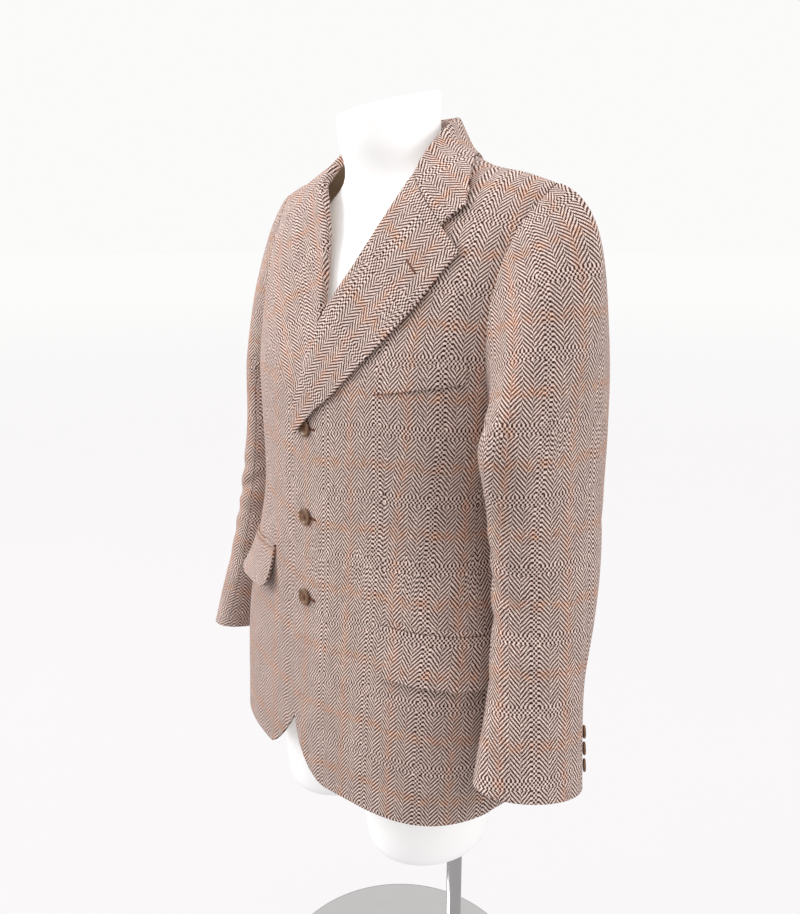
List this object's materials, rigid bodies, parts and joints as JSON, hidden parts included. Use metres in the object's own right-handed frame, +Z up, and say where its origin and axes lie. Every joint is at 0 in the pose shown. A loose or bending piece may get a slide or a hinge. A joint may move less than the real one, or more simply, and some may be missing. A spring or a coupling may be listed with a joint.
{
  "type": "tweed hacking jacket on a limbless dress form",
  "caption": "Single-breasted hacking jacket in herringbone windowpane tweed, with notched lapels and flapped pockets, buttoned on a smooth limbless dress form on a round base.",
  "frame": {"origin": "middle of the round base's underside, on the floor", "axes": "+X is the wearer's left, -Y is the front of the jacket, +Z is up"},
  "size_m": [0.636, 0.36, 1.2015],
  "materials": {
    "tweed": "matt woollen herringbone with a nap",
    "horn": "polished mottled brown horn",
    "form_white": "smooth white satin lacquer",
    "chrome": "bright plated"
  },
  "bodies": {
    "root": {"front_left": "tweed", "side_left": "tweed", "back_left": "tweed", "sleeve_left_top": "tweed", "sleeve_left_under": "tweed", "lapel_left": "tweed", "flap_left": "tweed", "jet_left": "tweed", "front_right": "tweed", "side_right": "tweed", "back_right": "tweed", "sleeve_right_top": "tweed", "sleeve_right_under": "tweed", "lapel_right": "tweed", "flap_right": "tweed", "jet_right": "tweed", "collar": "tweed", "breast_welt": "tweed", "front_button_1": "horn", "front_button_2": "horn", "front_button_3": "horn", "cuff_button_left_1": "horn", "cuff_button_left_2": "horn", "cuff_button_left_3": "horn", "cuff_button_right_1": "horn", "cuff_button_right_2": "horn", "cuff_button_right_3": "horn", "form_torso": "form_white", "form_pole": "chrome", "form_base": "chrome", "form_knob": "chrome"}
  },
  "joints": []
}
